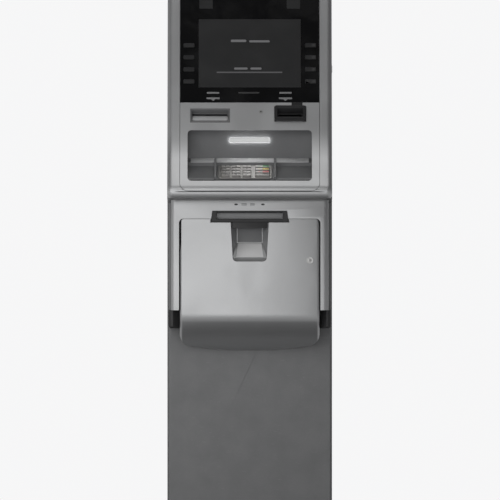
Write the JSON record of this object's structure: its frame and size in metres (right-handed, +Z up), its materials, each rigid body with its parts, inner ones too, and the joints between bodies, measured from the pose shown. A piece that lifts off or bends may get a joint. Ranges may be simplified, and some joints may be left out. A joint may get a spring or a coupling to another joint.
{
  "type": "atm machine",
  "caption": "Slim free-standing cash machine: steel vault with a swinging door and dispenser, bulging silver cover, and a sloping head with screen, keypad and card reader.",
  "frame": {"origin": "on the floor, at the centre of the overall box", "axes": "+Z up, the user stands on the -Y side, +X to the user's right"},
  "size_m": [0.4012, 0.57, 1.41],
  "materials": {
    "charcoal_powder": "fine textured powder coat",
    "silver_moulding": "satin metallic paint on a moulding",
    "black_gloss": "gloss",
    "black_matte": "fine texture",
    "grey_matte": "satin",
    "screen_glass": "screen glass over a dark display",
    "steel": "brushed",
    "zinc_steel": "zinc plated sheet",
    "chrome": "polished",
    "key_metal": "satin",
    "key_yellow": "satin with a coloured mark",
    "key_green": "satin with a coloured mark",
    "key_red": "satin with a coloured mark",
    "lamp_lens": "frosted, lit",
    "roller_rubber": "ground rubber on steel",
    "paper": "thermal paper",
    "cassette_plastic": "moulded"
  },
  "bodies": {
    "cabinet": {"vault_shell": "charcoal_powder", "head_cabinet": "charcoal_powder", "rear_cover": "charcoal_powder", "power_inlet": "black_matte", "controller_box": "zinc_steel", "cabinet_fasteners": "steel", "dispenser_frame": "zinc_steel", "drive_motor": "steel"},
    "vault_door_assembly": {"vault_door": "charcoal_powder", "lower_fascia": "silver_moulding", "exit_throat": "black_matte", "corner_caps": "black_matte"},
    "shutter": {"exit_shutter": "grey_matte"},
    "belly_cover": {"belly_cover": "silver_moulding"},
    "cover_lock": {"cover_lock": "chrome"},
    "combination_dial": {"combination_dial": "steel"},
    "bolt_handle": {"bolt_handle": "chrome"},
    "bolt_bar": {"bolt_bar": "steel"},
    "cassette": {"cash_cassette": "cassette_plastic"},
    "pick_roller": {"pick_roller": "roller_rubber"},
    "feed_roller": {"feed_roller": "roller_rubber"},
    "motor_pinion": {"motor_pinion": "steel"},
    "fascia": {"fascia_frame": "silver_moulding", "fascia_panel": "silver_moulding", "display_bezel": "black_gloss", "display_glass": "screen_glass", "lcd_module": "black_matte", "keypad_tub": "grey_matte", "keypad_body": "steel", "light_bar": "lamp_lens", "receipt_chute": "grey_matte", "receipt_printer": "black_matte", "card_reader": "black_matte", "headphone_jack": "steel"},
    "paper_roll": {"paper_roll": "paper"},
    "fascia_latch": {"fascia_latch": "chrome"},
    "function_key_left_1": {"function_key_left_1": "grey_matte"},
    "function_key_left_2": {"function_key_left_2": "grey_matte"},
    "function_key_left_3": {"function_key_left_3": "grey_matte"},
    "function_key_left_4": {"function_key_left_4": "grey_matte"},
    "function_key_right_1": {"function_key_right_1": "grey_matte"},
    "function_key_right_2": {"function_key_right_2": "grey_matte"},
    "function_key_right_3": {"function_key_right_3": "grey_matte"},
    "function_key_right_4": {"function_key_right_4": "grey_matte"},
    "key_star": {"key_star": "key_metal"},
    "key_0": {"key_0": "key_metal"},
    "key_hash": {"key_hash": "key_metal"},
    "key_blank": {"key_blank": "key_metal"},
    "key_7": {"key_7": "key_metal"},
    "key_8": {"key_8": "key_metal"},
    "key_9": {"key_9": "key_metal"},
    "key_enter": {"key_enter": "key_green"},
    "key_4": {"key_4": "key_metal"},
    "key_5": {"key_5": "key_metal"},
    "key_6": {"key_6": "key_metal"},
    "key_clear": {"key_clear": "key_yellow"},
    "key_1": {"key_1": "key_metal"},
    "key_2": {"key_2": "key_metal"},
    "key_3": {"key_3": "key_metal"},
    "key_cancel": {"key_cancel": "key_red"}
  },
  "joints": [
    {"name": "vault_door_swing", "type": "hinge", "parent": "cabinet", "child": "vault_door_assembly", "pos_m": [-0.187, -0.16, 0.4], "axis": [0, 0, -1], "range_deg": [0, 95]},
    {"name": "shutter_flap", "type": "hinge", "parent": "vault_door_assembly", "child": "shutter", "pos_m": [0, -0.24957, 0.7979], "axis": [1, 0, 0], "range_deg": [0, 78], "stiffness_Nm_per_rad": 0.02},
    {"name": "belly_cover_swing", "type": "hinge", "parent": "vault_door_assembly", "child": "belly_cover", "pos_m": [-0.156, -0.262, 0.64], "axis": [0, 0, -1], "range_deg": [0, 85]},
    {"name": "cover_lock_turn", "type": "hinge", "parent": "belly_cover", "child": "cover_lock", "pos_m": [0.146, -0.26, 0.684], "axis": [0, 1, 0], "range_deg": [0, 90]},
    {"name": "combination_dial_turn", "type": "hinge", "parent": "vault_door_assembly", "child": "combination_dial", "pos_m": [0.06, -0.17, 0.64], "axis": [0, 1, 0], "continuous": true},
    {"name": "bolt_handle_turn", "type": "hinge", "parent": "vault_door_assembly", "child": "bolt_handle", "pos_m": [0.06, -0.17, 0.555], "axis": [0, 1, 0], "range_deg": [0, 90]},
    {"name": "bolt_slide", "type": "slide", "parent": "vault_door_assembly", "child": "bolt_bar", "axis": [1, 0, 0], "range_m": [0, 0.018]},
    {"name": "cassette_slide", "type": "slide", "parent": "cabinet", "child": "cassette", "axis": [0, -1, 0], "range_m": [0, 0.03]},
    {"name": "pick_roller_spin", "type": "hinge", "parent": "cabinet", "child": "pick_roller", "pos_m": [0, -0.06, 0.584], "axis": [1, 0, 0], "continuous": true},
    {"name": "feed_roller_spin", "type": "hinge", "parent": "cabinet", "child": "feed_roller", "pos_m": [0, -0.06, 0.632], "axis": [1, 0, 0], "continuous": true},
    {"name": "motor_pinion_spin", "type": "hinge", "parent": "cabinet", "child": "motor_pinion", "pos_m": [-0.126, -0.02882, 0.65], "axis": [1, 0, 0], "continuous": true},
    {"name": "fascia_tilt", "type": "hinge", "parent": "cabinet", "child": "fascia", "pos_m": [0, -0.268, 0.843], "axis": [1, 0, 0], "range_deg": [0, 70]},
    {"name": "paper_roll_spin", "type": "hinge", "parent": "fascia", "child": "paper_roll", "pos_m": [-0.0965, -0.01286, 0.99289], "axis": [1, 0, 0], "continuous": true},
    {"name": "fascia_latch_turn", "type": "hinge", "parent": "cabinet", "child": "fascia_latch", "pos_m": [0.19, -0.03, 1.15], "axis": [1, 0, 0], "range_deg": [0, 90]},
    {"name": "function_key_left_1_press", "type": "slide", "parent": "fascia", "child": "function_key_left_1", "axis": [0, 0.9063, -0.4226], "range_m": [0, 0.001], "stiffness_N_per_m": 400},
    {"name": "function_key_left_2_press", "type": "slide", "parent": "fascia", "child": "function_key_left_2", "axis": [0, 0.9063, -0.4226], "range_m": [0, 0.001], "stiffness_N_per_m": 400},
    {"name": "function_key_left_3_press", "type": "slide", "parent": "fascia", "child": "function_key_left_3", "axis": [0, 0.9063, -0.4226], "range_m": [0, 0.001], "stiffness_N_per_m": 400},
    {"name": "function_key_left_4_press", "type": "slide", "parent": "fascia", "child": "function_key_left_4", "axis": [0, 0.9063, -0.4226], "range_m": [0, 0.001], "stiffness_N_per_m": 400},
    {"name": "function_key_right_1_press", "type": "slide", "parent": "fascia", "child": "function_key_right_1", "axis": [0, 0.9063, -0.4226], "range_m": [0, 0.001], "stiffness_N_per_m": 400},
    {"name": "function_key_right_2_press", "type": "slide", "parent": "fascia", "child": "function_key_right_2", "axis": [0, 0.9063, -0.4226], "range_m": [0, 0.001], "stiffness_N_per_m": 400},
    {"name": "function_key_right_3_press", "type": "slide", "parent": "fascia", "child": "function_key_right_3", "axis": [0, 0.9063, -0.4226], "range_m": [0, 0.001], "stiffness_N_per_m": 400},
    {"name": "function_key_right_4_press", "type": "slide", "parent": "fascia", "child": "function_key_right_4", "axis": [0, 0.9063, -0.4226], "range_m": [0, 0.001], "stiffness_N_per_m": 400},
    {"name": "key_star_press", "type": "slide", "parent": "fascia", "child": "key_star", "axis": [0, 0.3305, -0.9438], "range_m": [0, 0.002], "stiffness_N_per_m": 400},
    {"name": "key_0_press", "type": "slide", "parent": "fascia", "child": "key_0", "axis": [0, 0.3305, -0.9438], "range_m": [0, 0.002], "stiffness_N_per_m": 400},
    {"name": "key_hash_press", "type": "slide", "parent": "fascia", "child": "key_hash", "axis": [0, 0.3305, -0.9438], "range_m": [0, 0.002], "stiffness_N_per_m": 400},
    {"name": "key_blank_press", "type": "slide", "parent": "fascia", "child": "key_blank", "axis": [0, 0.3305, -0.9438], "range_m": [0, 0.002], "stiffness_N_per_m": 400},
    {"name": "key_7_press", "type": "slide", "parent": "fascia", "child": "key_7", "axis": [0, 0.3305, -0.9438], "range_m": [0, 0.002], "stiffness_N_per_m": 400},
    {"name": "key_8_press", "type": "slide", "parent": "fascia", "child": "key_8", "axis": [0, 0.3305, -0.9438], "range_m": [0, 0.002], "stiffness_N_per_m": 400},
    {"name": "key_9_press", "type": "slide", "parent": "fascia", "child": "key_9", "axis": [0, 0.3305, -0.9438], "range_m": [0, 0.002], "stiffness_N_per_m": 400},
    {"name": "key_enter_press", "type": "slide", "parent": "fascia", "child": "key_enter", "axis": [0, 0.3305, -0.9438], "range_m": [0, 0.002], "stiffness_N_per_m": 400},
    {"name": "key_4_press", "type": "slide", "parent": "fascia", "child": "key_4", "axis": [0, 0.3305, -0.9438], "range_m": [0, 0.002], "stiffness_N_per_m": 400},
    {"name": "key_5_press", "type": "slide", "parent": "fascia", "child": "key_5", "axis": [0, 0.3305, -0.9438], "range_m": [0, 0.002], "stiffness_N_per_m": 400},
    {"name": "key_6_press", "type": "slide", "parent": "fascia", "child": "key_6", "axis": [0, 0.3305, -0.9438], "range_m": [0, 0.002], "stiffness_N_per_m": 400},
    {"name": "key_clear_press", "type": "slide", "parent": "fascia", "child": "key_clear", "axis": [0, 0.3305, -0.9438], "range_m": [0, 0.002], "stiffness_N_per_m": 400},
    {"name": "key_1_press", "type": "slide", "parent": "fascia", "child": "key_1", "axis": [0, 0.3305, -0.9438], "range_m": [0, 0.002], "stiffness_N_per_m": 400},
    {"name": "key_2_press", "type": "slide", "parent": "fascia", "child": "key_2", "axis": [0, 0.3305, -0.9438], "range_m": [0, 0.002], "stiffness_N_per_m": 400},
    {"name": "key_3_press", "type": "slide", "parent": "fascia", "child": "key_3", "axis": [0, 0.3305, -0.9438], "range_m": [0, 0.002], "stiffness_N_per_m": 400},
    {"name": "key_cancel_press", "type": "slide", "parent": "fascia", "child": "key_cancel", "axis": [0, 0.3305, -0.9438], "range_m": [0, 0.002], "stiffness_N_per_m": 400}
  ],
  "couplings": [
    {"joint": "bolt_slide", "follows": "bolt_handle_turn", "m_per_rad": 0.011459},
    {"joint": "feed_roller_spin", "follows": "pick_roller_spin", "ratio": -1},
    {"joint": "motor_pinion_spin", "follows": "pick_roller_spin", "ratio": 2}
  ]
}
